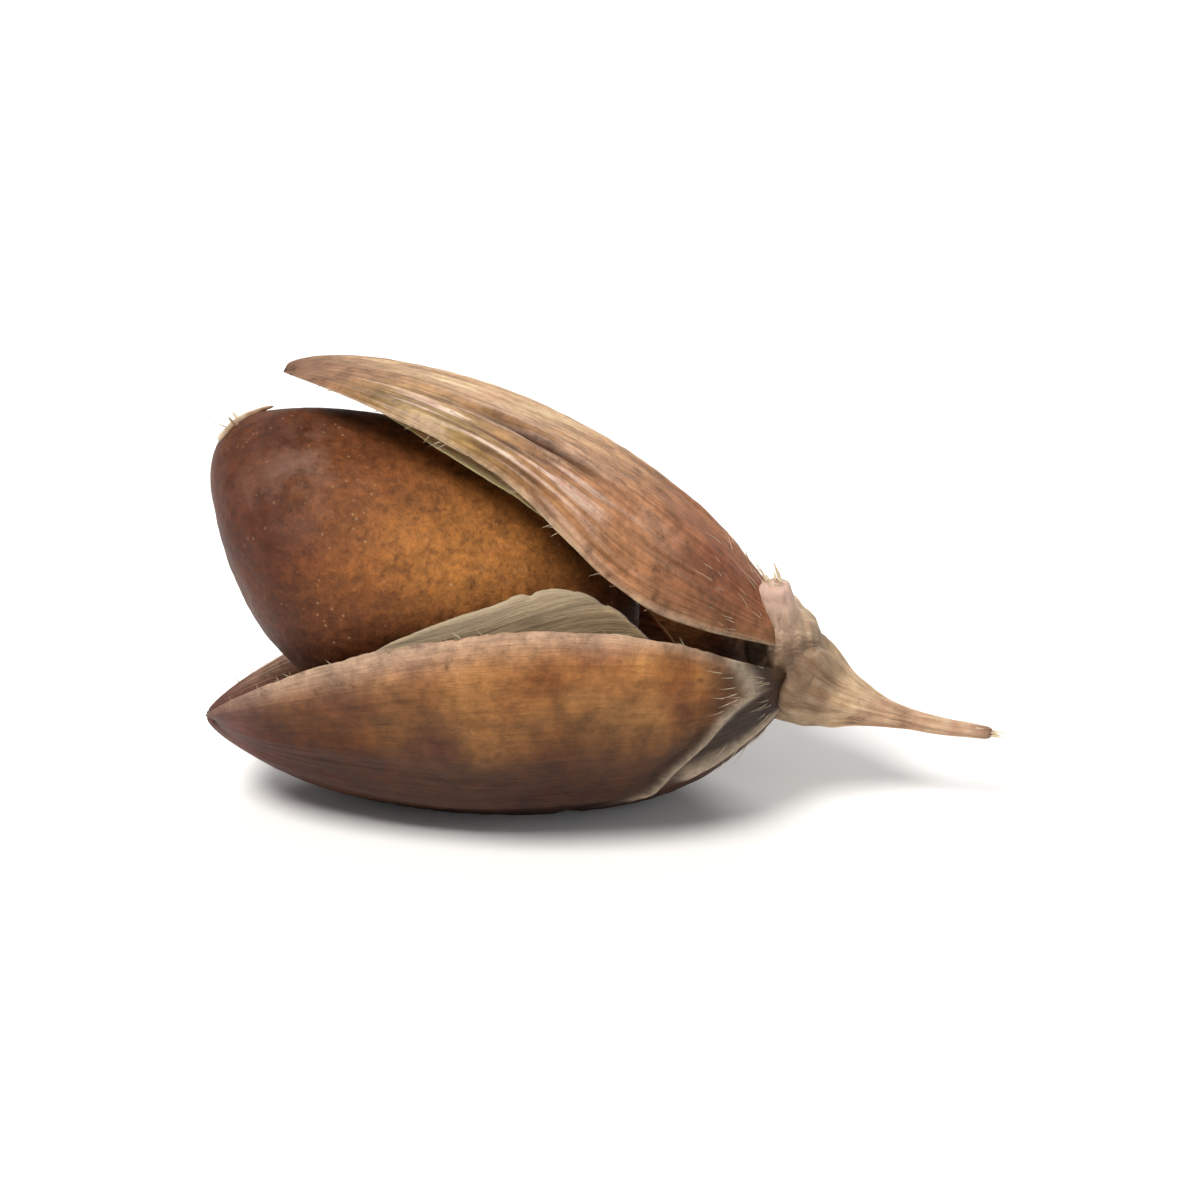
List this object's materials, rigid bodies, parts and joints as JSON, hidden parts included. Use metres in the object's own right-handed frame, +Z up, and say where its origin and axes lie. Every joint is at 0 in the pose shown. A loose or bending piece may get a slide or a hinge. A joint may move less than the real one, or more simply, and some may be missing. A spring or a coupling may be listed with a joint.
{
  "type": "sorghum spikelet",
  "caption": "Sorghum grain still held in its open husk of boat-shaped scales, on a broken stub of the seed head's branch.",
  "frame": {"origin": "centre of the bounding box on the surface that the spikelet lies on", "axes": "+X along the spikelet from the open mouth of the husk to the broken branch stub, +Z up from the surface, +Y across; the open side that shows the grain faces -Y"},
  "size_m": [0.0082, 0.0042, 0.0046],
  "materials": {
    "grain_skin": "satin reddish-brown seed skin, mottled and dotted",
    "husk": "leathery tan husk with a soft shine and paler edges",
    "papery_scale": "thin papery straw scale with fine long fibres",
    "straw": "matte pale straw with long fibres and a frayed broken end"
  },
  "bodies": {
    "root": {"grain": "grain_skin", "lower_glume": "husk", "upper_glume": "husk", "lower_inner_scale": "papery_scale", "upper_inner_scale": "papery_scale", "branch_stub": "straw"}
  },
  "joints": []
}
